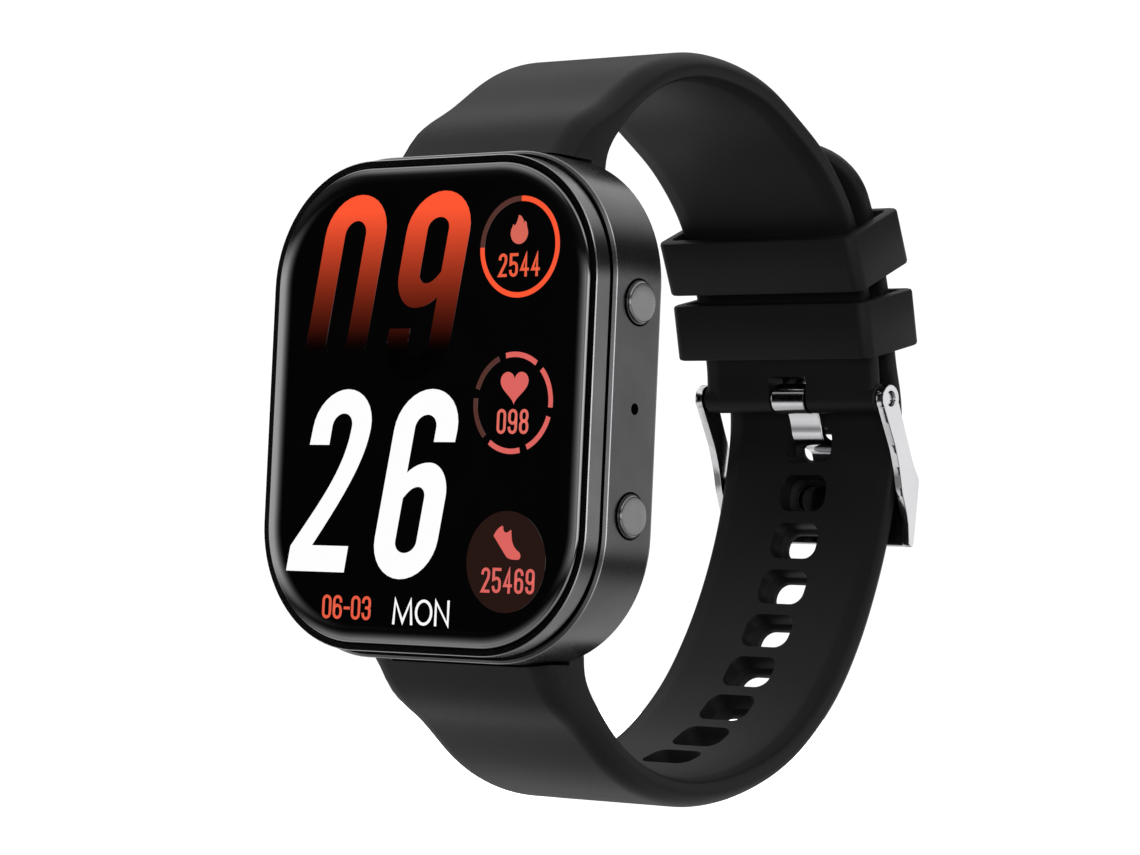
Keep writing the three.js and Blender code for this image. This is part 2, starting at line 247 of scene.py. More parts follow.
def roundRect(halfU, halfV, radius, steps=14):
    outline = []
    for quarter, (su, sv) in enumerate(quarters):
        for i in range(steps + 1):
            angle = math.pi / 2 * (quarter + i / steps)
            outline.append((su * (halfU - radius) + radius * math.cos(angle),
                            sv * (halfV - radius) + radius * math.sin(angle)))
    return outline


def circle(radius, steps=48):
    return [(radius * math.cos(2 * math.pi * i / steps), radius * math.sin(2 * math.pi * i / steps))
            for i in range(steps)]


# round body from (position, radius) pairs along x or along the depth
def turned(axis, centre, profile, steps=48):
    rings = []
    for position, radius in profile:
        if axis == "x":
            rings.append([at(position, centre[0] + u, centre[1] + v) for u, v in circle(radius, steps)])
        else:
            rings.append([at(centre[0] + u, position, centre[1] + v) for u, v in circle(radius, steps)])
    return skin(rings)


def tool(shape):
    points, faces = shape
    return piece("tool", points, faces, finish["seal"], None, None, smooth=0)


def carve(obj, shape, how="DIFFERENCE"):
    other = tool(shape)
    step = obj.modifiers.new("carve", "BOOLEAN")
    step.operation = how
    step.solver = "EXACT"
    step.object = other
    bake(obj)
    bpy.data.objects.remove(other)


def bake(obj):
    bpy.context.view_layer.update()
    shape = bpy.data.meshes.new_from_object(obj.evaluated_get(bpy.context.evaluated_depsgraph_get()))
    obj.modifiers.clear()
    obj.data = shape


def evenShading(obj):
    step = obj.modifiers.new("evenShading", "WEIGHTED_NORMAL")
    step.keep_sharp = True


case = {
    "half": 20.05,        # front frame half width
    "tall": 3.45,         # taller than wide, per side
    "corner": 12.1,
    "bodyStep": 0.35,     # body stands out past the frame
    "bodyTall": 3.70,
    "cavityTall": 0.6,
    "front": 2.3,         # front and back rims of the body
    "back": 9.6,
    "backRound": 0.6,
    "wall": 1.45,         # inset of the cavity wall
    "post": (14.6, 15.1),
    "postRadius": 2.5,
    "soundHole": 0.55,
    "cornerSteps": 22,
}
lug = {
    "depth": 7.7,         # spring bar axis
    "height": 22.1,
    "pocket": 22.5,       # middle of the recess in the case
    "tab": 22.55,         # middle of the strap's tab
    "tabHalf": 8.1,
    "tipBore": 0.5,
    "barBore": 0.85,
}


def caseRing(depth, inset, tall=None):
    half = case["half"] - inset
    tall = case["tall"] if tall is None else tall
    corner = max(case["corner"] - inset, 2)
    return [at(x, depth, z) for x, z in roundRect(half, half + tall, corner, case["cornerSteps"])]


# quarter round from A to B, leaving A along the depth
def rounded(depthA, insetA, depthB, insetB, steps=5):
    points = []
    for i in range(steps + 1):
        angle = math.pi / 2 * i / steps
        depth = depthA + (depthB - depthA) * math.sin(angle)
        points.append((depth, insetA + (insetB - insetA) * (1 - math.cos(angle))))
    return points


glass = {
    "front": -0.6,
    "drop": 0.35,         # fall from the flat to the rim
    "ramp": 2.1,          # width of the curved edge
    "back": 0.6,
    "rim": 0.75,          # insets of the rim and of the start of the curve
    "curve": 0.95,
    "curvePower": 2.2,
    "curveSteps": 16,
}


def makeGlass():
    rim, curve, steps = glass["rim"], glass["curve"], glass["curveSteps"]
    profile = [(glass["back"], rim), (0.1, rim)] + rounded(0.0, rim, -0.25, curve, 4)
    for i in range(1, steps + 1):
        inward = i / steps
        fall = glass["drop"] * (1 - inward) ** glass["curvePower"]
        profile.append((glass["front"] + fall, curve + glass["ramp"] * inward))
    points, faces = skin([caseRing(depth, inset) for depth, inset in profile])
    obj = piece("coverGlass", points, faces, finish["glass"], "case", "glass", ["cover_glass"], 50)
    evenShading(obj)


def makeFrontFrame():
    profile = [(-0.04, 0.2), (-0.04, 0.08), (0.05, 0.0), (0.15, 0.0), (1.86, 0.0), (1.93, 0.02)]
    profile += [(2.0, 0.09), (2.0, 1.1), (3.4, 1.1), (3.4, 2.15), (0.75, 2.15), (0.75, 0.63)]
    profile += [(0.0, 0.63), (-0.04, 0.6)]
    points, faces = skin([caseRing(depth, inset) for depth, inset in profile], loop=True)
    obj = piece("frontFrame", points, faces, finish["frameMetal"], "case", "frame_metal",
                ["front_frame"], 25)
    # the front edge chamfer gets the brighter metal, a painted highlight line
    obj.data.materials.append(finish["paintedEdgeHighlight"])
    paintRing(obj, 1)
    evenShading(obj)


# gives one ring of faces the second finish, a brighter copy of the metal that paints a highlight line
# along a thin edge chamfer
def paintRing(obj, ring):
    count = len(caseRing(0, 0))
    for i in range(count):
        obj.data.polygons[ring * count + i].material_index = 1


def makeFrameSeal():
    profile = [(2.0, 0.5), (2.15, 0.45), (2.3, 0.5), (2.3, 1.08), (2.0, 1.08)]
    points, faces = skin([caseRing(depth, inset) for depth, inset in profile], loop=True)
    piece("frameSeal", points, faces, finish["seal"], "case", "seal", ["frame_gasket"])


def makeCaseBody():
    step, tall = case["bodyStep"], case["bodyTall"]
    front, back, bend = case["front"], case["back"], case["backRound"]
    outer = [(front, 0.42 - step), (front, 0.3 - step), (2.53, 0.07 - step), (2.6, -step), (2.7, -step)]
    outer.append((back - bend, -step))
    for a in (0.3, 0.6, 0.9, 1.2, math.pi / 2):
        outer.append((back - bend + bend * math.sin(a), bend * (1 - math.cos(a)) - step))
    profile = [(depth, inset, tall) for depth, inset in outer]
    profile += [(back, case["wall"], case["cavityTall"]), (4.2, case["wall"], case["cavityTall"])]
    profile += [(4.2, 1.0, case["tall"]), (front, 1.0, case["tall"])]
    points, faces = skin([caseRing(*row) for row in profile], loop=True)
    obj = piece("caseBody", points, faces, finish["caseMetal"], "case", "case_metal", ["case_body"], 0)
    # the body's rim chamfer gets the brighter metal, a painted highlight line
    obj.data.materials.append(finish["paintedEdgeHighlight"])
    paintRing(obj, 2)
    for side in (1, -1):
        opening = roundRect(8.4, 2.5, 0.6, 6)
        recess = [[at(x, depth, lug["pocket"] * side + z) for x, z in opening] for depth in (5.4, 10.5)]
        carve(obj, skin(recess))
        bore = [(-9.5, lug["tipBore"]), (9.5, lug["tipBore"])]
        carve(obj, turned("x", (lug["depth"], lug["height"] * side), bore, 24))
        axis = (button["depth"], button["height"] * side)
        wells = ((19.2, 22.0, button["radius"] + 0.2), (18.0, 20.0, 1.3), (17.4, 18.6, 1.8))
        for x0, x1, radius in wells:
            carve(obj, turned("x", axis, [(x0, radius), (x1, radius)], 64))
    carve(obj, turned("x", (button["depth"], 0), [(18, case["soundHole"]), (22, case["soundHole"])], 32))
    soften(obj, 25)
    evenShading(obj)
    x, z = case["post"]
    wide = case["postRadius"]
    for sx, sz in quarters:
        profile = [(3.95, wide), (9.58, wide), (9.58, 0.62), (6.2, 0.62)]
        post = turned("y", (x * sx, z * sz), profile, 24)
        number = 1 + (sx < 0) + 2 * (sz < 0)
        piece("screwPost_%d" % number, *post, finish["caseMetal"], "case", "case_metal")


button = {
    "depth": 5.95,
    "height": 9.9,
    "radius": 2.05,
    "face": 20.95,
    "edge": 0.22,         # rounding of the cap's rim
}


def makeButton(word, side):
    r, face, edge = button["radius"], button["face"], button["edge"]
    profile = [(17.6, 0.9), (19.75, 0.9), (19.75, r - 0.08), (19.8, r), (face - 0.42, r)]
    profile += [(face - 0.4, r - 0.1), (face - edge - 0.05, r - 0.1)]
    for i in range(1, 6):
        a = math.pi / 2 * i / 5
        profile.append((face - edge - 0.05 + edge * math.sin(a), r - 0.1 - edge * (1 - math.cos(a))))
    profile += [(face - 0.03, r - 0.6), (face, 0.8)]
    points, faces = turned("x", (button["depth"], button["height"] * side), profile, 64)
    obj = piece(word + "Button", points, faces, finish["buttonMetal"], "button_" + word, "button_metal",
                ["button_" + word], 30)
    evenShading(obj)


def makeBackCover():
    profile = [(9.8, 0.75), (10.42, 0.75), (10.5, 0.78), (11.33, 1.7), (11.38, 1.8), (11.4, 1.95)]
    points, faces = skin([caseRing(depth, inset, case["cavityTall"]) for depth, inset in profile])
    obj = piece("backCover", points, faces, finish["back"], "case", "back", ["case_back"], 0)
    carve(obj, turned("y", (0, 0), [(9, 8.85), (11.3, 8.85), (11.5, 9.05)], 96))
    x, z = case["post"]
    for sx, sz in quarters:
        screwHole = [(9, 0.6), (10.7, 0.6), (10.7, 1.05), (12, 1.05)]
        carve(obj, turned("y", (x * sx, z * sz), screwHole, 32))
    for side in (1, -1):
        carve(obj, turned("y", (3 * side, -13.2), [(9, 1.25), (12, 1.25)], 32))
    soften(obj, 20)
    evenShading(obj)


def makeSensorWindow():
    profile = [(10.3, 8.8), (11.35, 8.8), (11.45, 8.74)]
    for i in range(1, 13):
        r = 8.6 - 8.5 * i / 12
        profile.append((12.0 - 0.5 * (r / 8.8) ** 3, r))
    points, faces = turned("y", (0, 0), profile, 96)
    obj = piece("sensorWindow", points, faces, finish["window"], "case", "window", ["sensor_window"], 30)
    evenShading(obj)


band = {
    "half": 11.0,
    "thick": 2.9,
    "clasp": 2.65,        # thickness where the two layers overlap
    "foot": 5.6,          # extra thickness against the case
    "arc": (17.8, 2.0),   # centre of the arc through the keepers
    "shortArc": 40.5,
    "longArc": 44.0,
    "holes": 11,
    "pitch": 5.3,
    "holeHeight": 0.2,    # height of the hole that the tongue is in
    "footLength": 14,
    "thinLength": 14,     # length over which the band thins towards the clasp
    "shortThin": 40,
    "longThin": 50,
    "tip": 6,             # corner radius of the free end
}
pivot = (60.2, 4.93)      # buckle bar axis, depth and height


def polar(radius, degrees):
    angle = math.radians(degrees)
    return band["arc"][0] + radius * math.cos(angle), band["arc"][1] + radius * math.sin(angle)


# inner face of each strap as (depth, height), from the case round to its end
shortRoute = [(12.5, 22.4), (12.95, 25), (15.6, 28.3), (20.2, 31.8), (25.7, 33.75), (31.7, 34.0)]
shortRoute += [(37.6, 32.9), (42.9, 30.4), (48.0, 27.3)]
shortRoute += [polar(band["shortArc"], a) for a in (31, 23, 15)]
shortRoute += [(58.25, 8.2), (58.65, 4.93)]
longRoute = [(12.5, -22.4), (12.95, -25), (15.1, -27.8), (19.6, -31.6), (24.6, -33.8), (30.8, -34.75),
             (38.4, -33.9), (46.1, -31.0), (52.3, -26.1), (56.4, -20.6), (59.5, -14.5), (61.5, -8.6),
             (62.6, -3.0), (63.05, 1.0), (62.75, 4.6), (61.5, 8.6)]
longRoute += [polar(band["longArc"], a) for a in (14.5, 21, 28, 34, 39.5)]


# centripetal curve through the route, as many small steps
def routePoints(route, fine=60):
    ends = [tuple(2 * a - b for a, b in zip(route[0], route[1]))]
    ends += route + [tuple(2 * a - b for a, b in zip(route[-1], route[-2]))]
    curve = []
    for k in range(1, len(ends) - 2):
        p = [Vector(ends[k + j]) for j in (-1, 0, 1, 2)]
        d = [math.sqrt((p[j + 1] - p[j]).length) for j in range(3)]
        leave = ((p[1] - p[0]) / d[0] - (p[2] - p[0]) / (d[0] + d[1]) + (p[2] - p[1]) / d[1]) * d[1]
        arrive = ((p[2] - p[1]) / d[1] - (p[3] - p[1]) / (d[1] + d[2]) + (p[3] - p[2]) / d[2]) * d[1]
        for i in range(fine):
            t = i / fine
            curve.append(p[1] + leave * t + (3 * (p[2] - p[1]) - 2 * leave - arrive) * t ** 2
                         + (2 * (p[1] - p[2]) + leave + arrive) * t ** 3)
    curve.append(Vector(route[-1]))
    return curve


class Route:
    def __init__(self, route, outside):
        self.points = routePoints(route)
        self.outside = outside
        self.lengths = [0.0]
        for a, b in zip(self.points, self.points[1:]):
            self.lengths.append(self.lengths[-1] + (b - a).length)
        self.length = self.lengths[-1]

    # point, outward direction and forward direction at distance s
    def station(self, s):
        k = 0
        while k < len(self.lengths) - 2 and self.lengths[k + 1] < s:
            k += 1
        a, b = self.points[k], self.points[k + 1]
        spot = a + (b - a) * (s - self.lengths[k]) / (b - a).length
        lo, hi = self.points[max(k - 2, 0)], self.points[min(k + 3, len(self.points) - 1)]
        ahead = (hi - lo).normalized()
        return spot, Vector((-ahead.y, ahead.x)) * self.outside, ahead

    # distance at which the route passes a height, past its lowest point
    def reach(self, height):
        s = self.length * 0.5
        while self.station(s)[0].y < height:
            s += 0.02
        return s


def thickness(s, thinFrom):
    foot = band["foot"] * max(0, 1 - s / band["footLength"]) ** 4
    t = min(max((s - thinFrom) / band["thinLength"], 0), 1)
    return foot + band["thick"] + (band["clasp"] - band["thick"]) * t * t * (3 - 2 * t)


# right half of the section, from the inner face round to the outer face
def bandSection(thick, half):
    edge = half - band["half"]
    side = [(edge + 8.2, 0.0), (edge + 8.9, 0.0), (edge + 9.1, 0.02), (edge + 10.3, 0.235)]
    side += [(edge + 10.5, 0.28), (edge + 10.72, 0.38), (edge + 10.88, 0.52)]
    for i in range(1, 13):
        angle = math.pi / 2 * i / 12
        side.append((half - 2.3 * (1 - math.cos(angle)), thick - 1.8 * (1 - math.sin(angle))))
    return side


def bandRing(route, s, thick, half):
    spot, out, ahead = route.station(s)
    side = bandSection(thick, half)
    full = side + [(-x, d) for x, d in reversed(side)]
    return [at(x, spot.x + out.x * d, spot.y + out.y * d) for x, d in full]


def bandLoft(route, stations, thinFrom, tip):
    rings = []
    for i in range(stations + 1):
        s = route.length * i / stations
        past = max(tip - (route.length - s), 0)
        half = band["half"] - tip + math.sqrt(max(tip ** 2 - past ** 2, 0.04)) if tip else band["half"]
        rings.append(bandRing(route, s, thickness(s, thinFrom), half))
    return skin(rings)


# trim the band clear of the case, then add the tab that fills the lug recess
def seatInCase(obj, side):
    clear = [caseRing(depth, -case["bodyStep"] - 0.25, case["bodyTall"]) for depth in (0, 9.85)]
    carve(obj, skin(clear))
    tab = []
    for x in (-lug["tabHalf"], lug["tabHalf"]):
        outline = roundRect(1.9, 2.2, 1.6, 6)
        tab.append([at(x, lug["depth"] + u, (lug["tab"] + v) * side) for u, v in outline])
    carve(obj, skin(tab), "UNION")
    bore = [(-10, lug["barBore"]), (10, lug["barBore"])]
    carve(obj, turned("x", (lug["depth"], lug["height"] * side), bore, 32))


def makeShortStrap():
    route = Route(shortRoute, 1)
    loft = bandLoft(route, 120, band["shortThin"], 0)
    obj = piece("strapShort", *loft, finish["band"], None, None, smooth=0)
    seatInCase(obj, 1)
    roll = [(-11.1, 1.35), (-10.9, 1.55), (10.9, 1.55), (11.1, 1.35)]
    carve(obj, turned("x", pivot, roll, 48), "UNION")
    carve(obj, turned("x", pivot, [(-12, buckle["bore"]), (12, buckle["bore"])], 32))
    outline = ((-2.4, 0), (2.4, 0), (2.4, 7.15), (-2.4, 7.15))    # room for the tongue
    carve(obj, skin([[at(x, depth, z) for x, z in outline] for depth in (55, 66)]))
    finishStrap(obj, "strap_short")


def holeTool(route, s):
    spot, out, ahead = route.station(s)
    rings = []
    for d, across, along in ((-0.6, 2.97, 2.02), (0.0, 2.95, 2.0), (0.12, 2.88, 1.93), (1.7, 2.8, 1.85),
                             (2.1, 2.35, 1.5), (2.5, 2.3, 1.42), (3.2, 2.42, 1.54)):
        ring = roundRect(across, along, min(along, 1.35), 6)
        depth, height = spot.x + out.x * d, spot.y + out.y * d
        rings.append([at(x, depth + ahead.x * t, height + ahead.y * t) for x, t in ring])
    return skin(rings)


def makeLongStrap():
    route = Route(longRoute, -1)
    loft = bandLoft(route, 190, band["longThin"], band["tip"])
    obj = piece("strapLong", *loft, finish["band"], None, None, smooth=0)
    seatInCase(obj, -1)
    first = route.reach(band["holeHeight"])
    for k in range(band["holes"]):
        carve(obj, holeTool(route, first + (2 - k) * band["pitch"]))
    finishStrap(obj, "strap_long")


def finishStrap(obj, node):
    soften(obj, 32)
    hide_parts(node)
    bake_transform(obj)


keeper = {
    "half": 12.6,
    "near": 38.0,
    "deep": 10.05,
    "tall": 6.0,
    "corner": 1.2,
    "edge": 0.3,
    "sideWall": 1.25,
    "wall": 1.15,
}


def makeKeeper(word, degrees):
    radial = (Vector(polar(1, degrees)) - Vector(band["arc"])).normalized()
    along = Vector((-radial.y, radial.x))
    middle = Vector(polar(keeper["near"] + keeper["deep"] / 2, degrees))

    def ring(halfX, halfR, radius, w, shift=0.0):
        outline = roundRect(halfX, halfR, radius, 8)
        return [at(x, *(middle + radial * (r + shift) + along * w)) for x, r in outline]

    half, edge = keeper["tall"] / 2, keeper["edge"]
    rings = []
    for w, inset in ((-half, edge), (-half + edge * 0.3, edge * 0.3), (-half + edge, 0), (half - edge, 0),
                     (half - edge * 0.3, edge * 0.3), (half, edge)):
        corner = keeper["corner"] - inset * 0.6
        rings.append(ring(keeper["half"] - inset, keeper["deep"] / 2 - inset, corner, w))
    for w, inset in ((half, -0.12), (half - 0.15, 0), (0.15 - half, 0), (-half, -0.12)):
        halfX = keeper["half"] - keeper["sideWall"] - inset
        rings.append(ring(halfX, keeper["deep"] / 2 - keeper["wall"] - inset, 0.6, w, 0.05))
    points, faces = skin(rings, loop=True)
    name = "keeper_" + word
    piece(word + "Keeper", points, faces, finish["band"], name, "band", [name], 40)


# plate along x with softened rims
def slab(outline, x0, x1, soft=0.1, inset=0.0):
    flat = [Vector(p) for p in outline]
    area = sum(a.x * b.y - b.x * a.y for a, b in zip(flat, flat[1:] + flat[:1]))
    if area < 0:
        flat.reverse()
    count = len(flat)

    def shrunk(amount):
        ring = []
        for k in range(count):
            before, here, after = flat[k - 1], flat[k], flat[(k + 1) % count]
            a, b = (here - before).normalized(), (after - here).normalized()
            na, nb = Vector((-a.y, a.x)), Vector((-b.y, b.x))
            bisector = (na + nb).normalized()
            ring.append(here + bisector * (amount / max(bisector.dot(na), 0.4)))
        return ring

    rows = [(x0, soft), (x0 + 0.3 * soft, 0.3 * soft), (x0 + soft, 0)]
    rows += [(x1 - soft, 0), (x1 - 0.3 * soft, 0.3 * soft), (x1, soft)]
    return skin([[at(x, p.x, p.y) for p in shrunk(rim + inset)] for x, rim in rows])


# rounds each corner of an outline
def smoothOutline(corners, radius=0.4, steps=4):
    outline = []
    count = len(corners)
    for k in range(count):
        before, here, after = (Vector(corners[j % count]) for j in (k - 1, k, k + 1))
        a, b = before - here, after - here
        cutA = min(radius, a.length * 0.45)
        cutB = min(radius, b.length * 0.45)
        start, end = here + a.normalized() * cutA, here + b.normalized() * cutB
        for i in range(steps + 1):
            t = i / steps
            outline.append(tuple(start * (1 - t) ** 2 + here * 2 * t * (1 - t) + end * t ** 2))
    return outline


# outlines and tongue line as (depth, height)
cheekOutline = [(58.85, 4.3), (59.8, 2.7), (61.6, -0.35), (62.5, -2.6), (63.1, -4.8), (64.35, -7.6)]
cheekOutline += [(64.7, -10.3), (65.2, -10.5), (65.6, -10.1), (66.2, -3.6), (66.1, -3.1)]
cheekOutline += [(65.1, -1.9), (63.3, 1.5), (61.6, 4.95)]
crossOutline = [(65.45, -3.2), (65.35, -4.0), (64.95, -7.2), (64.7, -10.3), (65.2, -10.5), (65.6, -10.1)]
crossOutline += [(66.2, -3.6), (66.1, -3.1)]
tongueRoute = [(61.0, 5.1), (62.1, 3.5), (62.6, 2.4), (63.03, 1.2), (63.65, 0.68), (66.35, -0.08)]
tongueRoute += [(66.93, -0.85), (67.0, -3.75)]
buckle = {
    "inside": 11.35,      # the two faces of a cheek
    "outside": 12.25,
    "eye": 1.5,
    "bore": 0.85,
    "crossHalf": 11.7,
    "tongueHalf": 2.0,
    "tongueThick": 0.37,  # half thickness
    "barrel": 1.62,
}


def makeBuckle():
    cheeks = []
    for side in (1, -1):
        x0, x1 = sorted((buckle["inside"] * side, buckle["outside"] * side))
        plate = slab(smoothOutline(cheekOutline, 0.6), x0, x1)
        cheek = piece("cheek", *plate, finish["steel"], None, None, smooth=0)
        eye = [(pivot[0] + u, pivot[1] + v) for u, v in circle(buckle["eye"], 48)]
        carve(cheek, slab(eye, x0 - 0.004, x1 + 0.004), "UNION")
        carve(cheek, turned("x", pivot, [(-13, buckle["bore"]), (13, buckle["bore"])], 40))
        cheeks.append(cheek)
    cross = slab(smoothOutline(crossOutline, 0.35), -buckle["crossHalf"], buckle["crossHalf"], inset=0.03)
    obj = piece("buckleFrame", *cross, finish["steel"], "buckle", "steel", ["buckle_frame"], 0)
    with bpy.context.temp_override(active_object=obj, selected_editable_objects=[obj] + cheeks):
        bpy.ops.object.join()
    soften(obj, 30)
    evenShading(obj)


def makeBuckleBar():
    bar = [(-11.9, 0.6), (-11.8, 0.74), (-11.6, 0.8), (11.6, 0.8), (11.8, 0.74), (11.9, 0.6)]
    obj = piece("buckleBar", *turned("x", pivot, bar, 40), finish["steel"], "clasp", "steel",
                ["buckle_bar"], 30)
    evenShading(obj)


def makeTongue():
    route = Route(tongueRoute, 1)
    rings = []
    for i in range(41):
        spot, out, ahead = route.station(route.length * i / 40)
        ring = roundRect(buckle["tongueHalf"], buckle["tongueThick"], 0.14, 3)
        rings.append([at(x, spot.x + out.x * t, spot.y + out.y * t) for x, t in ring])
    obj = piece("buckleTongue", *skin(rings), finish["steel"], "tongue", "steel", ["buckle_tongue"], 0)
    r = buckle["barrel"]
    barrel = [(-2.15, 1.42), (-2.08, 1.56), (-1.95, r), (1.95, r), (2.08, 1.56), (2.15, 1.42)]
    carve(obj, turned("x", pivot, barrel, 48), "UNION")
    carve(obj, turned("x", pivot, [(-3, buckle["bore"]), (3, buckle["bore"])], 32))
    soften(obj, 30)
    evenShading(obj)


makeGlass()
makeFrontFrame()
makeFrameSeal()
makeCaseBody()
makeButton("upper", 1)
makeButton("lower", -1)
makeBackCover()
makeSensorWindow()
print("case built")
makeShortStrap()
makeLongStrap()
makeKeeper("upper", 25.1)
makeKeeper("lower", 14.5)
makeBuckle()
makeBuckleBar()
makeTongue()
print("band and buckle built")


screen = {
    "orange": (255, 87, 51),
    "white": (255, 255, 255),
    "flame": (216, 103, 88),
    "count": (238, 95, 62),
    "coral": (222, 101, 95),
    "pulse": (226, 108, 95),
    "dim": (86, 51, 45),
    "disc": (38, 22, 18),
    "date": (233, 92, 66),
    "slant": 0.176,
    "fadeLow": 4.2,       # heights between which the hours fade
    "fadeHigh": 18.4,
    "fadePower": 2.1,
    "clearGain": 30.0,    # how soon a faded figure turns clear
    "sheet": 0.012,       # half thickness of a shape on the glass
}


def glow(name, colour, fade=False):
    material, nodes, links, shader = newMaterial(name)
    shader.inputs["Base Color"].default_value = (0.001, 0.001, 0.001, 1)
    shader.inputs["Roughness"].default_value = looks["glass"]["rough"]
    shader.inputs["Specular IOR Level"].default_value = looks["glass"]["gloss"]
    shader.inputs["IOR"].default_value = looks["glass"]["ior"]
    shader.inputs["Emission Strength"].default_value = 1.0
    full = linear(*colour)
    grain = noise(nodes, links, 0.09, 1.0)
    level = spread(nodes, links, grain, 0.97, 1.0)
    if fade:
        place = nodes.new("ShaderNodeTexCoord")
        axes = nodes.new("ShaderNodeSeparateXYZ")
        height = nodes.new("ShaderNodeMapRange")
        height.inputs["From Min"].default_value = screen["fadeLow"] * mm
        height.inputs["From Max"].default_value = screen["fadeHigh"] * mm
        power = nodes.new("ShaderNodeMath")
        power.operation = "POWER"
        power.inputs[1].default_value = screen["fadePower"]
        times = nodes.new("ShaderNodeMath")
        times.operation = "MULTIPLY"
        links.new(place.outputs["Object"], axes.inputs[0])
        links.new(axes.outputs["Z"], height.inputs["Value"])
        links.new(height.outputs["Result"], power.inputs[0])
        links.new(power.outputs[0], times.inputs[0])
        links.new(level, times.inputs[1])
        level = times.outputs[0]
        solid = nodes.new("ShaderNodeMath")
        solid.operation = "MULTIPLY"
        solid.inputs[1].default_value = screen["clearGain"]
        solid.use_clamp = True
        links.new(power.outputs[0], solid.inputs[0])
        links.new(solid.outputs[0], shader.inputs["Alpha"])
    ramp = nodes.new("ShaderNodeValToRGB")
    ramp.color_ramp.elements[0].color = (0, 0, 0, 1)
    ramp.color_ramp.elements[1].color = full
    links.new(level, ramp.inputs["Fac"])
    links.new(ramp.outputs["Color"], shader.inputs["Emission Color"])
    return material


# part of an ellipse, angles in degrees
def arc(u, v, wide, high, start, end, steps=16):
    points = []
    for i in range(steps + 1):
        angle = math.radians(start + (end - start) * i / steps)
        points.append((u + wide * math.cos(angle), v + high * math.sin(angle)))
    return points


# smooth bend from a to d, pulled towards b and c
def sweep(a, b, c, d, steps=18):
    points = []
    for i in range(steps + 1):
        t = i / steps
        spot = []
        for p, q, r, w in zip(a, b, c, d):
            near = (1 - t) ** 3 * p + 3 * t * (1 - t) ** 2 * q
            spot.append(near + 3 * t * t * (1 - t) * r + t ** 3 * w)
        points.append(tuple(spot))
    return points


# upright loop with round ends
def oval(wide, bottom, top):
    return arc(0, top - wide, wide, wide, 0, 180) + arc(0, bottom + wide, wide, wide, 180, 360)


def bigZero():
    return [oval(3.87, 0.0, 17.9), oval(1.34, 2.45, 15.4)]


def bigTwo():
    outer = [(-1.25, 12.2), (-3.76, 12.2)] + arc(0, 13.85, 3.7, 3.7, 180, 0)
    outer += sweep((3.7, 13.85), (3.7, 10.6), (1.6, 7.0), (-1.18, 2.52))
    outer += [(3.49, 2.52), (3.52, 0.0), (-3.95, 0.0)]
    outer += sweep((-3.95, 2.4), (-1.2, 6.6), (1.27, 9.9), (1.27, 13.9))
    return [outer + arc(0, 14.0, 1.27, 1.23, 0, 180)]


def bigSix():
    outer = [(1.29, 13.0), (3.88, 13.0)] + arc(0, 14.13, 3.92, 3.87, 0, 180)
    outer += arc(0, 3.87, 3.93, 3.87, 180, 360)
    outer += arc(1.2, 7.8, 2.73, 3.25, 0, 90) + arc(1.2, 7.8, 3.56, 3.25, 90, 136.2, 6)
    outer += arc(-0.04, 14.32, 1.33, 1.25, 180, 0)
    inner = arc(0.01, 3.6, 1.33, 1.12, 180, 360) + arc(0.35, 7.75, 0.99, 1.0, 0, 90)
    inner += sweep((0.35, 8.75), (-0.3, 8.75), (-0.7, 8.4), (-1.32, 7.65), 6)
    return [outer, inner]


def bigNine():
    return [[(-u, 18.0 - v) for u, v in loop] for loop in bigSix()]


# thin plate on the glass over closed outlines; an outline inside another is a hole
def filled(name, loops, material):
    curve = bpy.data.curves.new(name, "CURVE")
    curve.dimensions = "2D"
    curve.fill_mode = "BOTH"
    curve.extrude = screen["sheet"] * mm
    for loop in loops:
        line = curve.splines.new("POLY")
        line.points.add(len(loop) - 1)
        for point, (x, z) in zip(line.points, loop):
            point.co = (x * mm, z * mm, 0, 1)
        line.use_cyclic_u = True
    holder = bpy.data.objects.new(name, curve)
    bpy.context.scene.collection.objects.link(holder)
    mesh = bpy.data.meshes.new_from_object(holder)
    bpy.data.objects.remove(holder)
    lift = glass["front"] - screen["sheet"]
    mesh.transform(Matrix.Translation(at(0, lift, 0)) @ Matrix.Rotation(math.pi / 2, 4, "X"))
    mesh.materials.clear()
    mesh.materials.append(material)
    return display(bpy.data.objects.new(name, mesh))


def display(obj):
    if obj.name not in bpy.context.scene.collection.objects:
        bpy.context.scene.collection.objects.link(obj)
    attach(obj, "case")
    return obj


# places a figure: x is its middle at height z, base is its foot
def slanted(loops, x, z, base):
    return [[(x + screen["slant"] * (base + v - z) + u, base + v) for u, v in loop] for loop in loops]


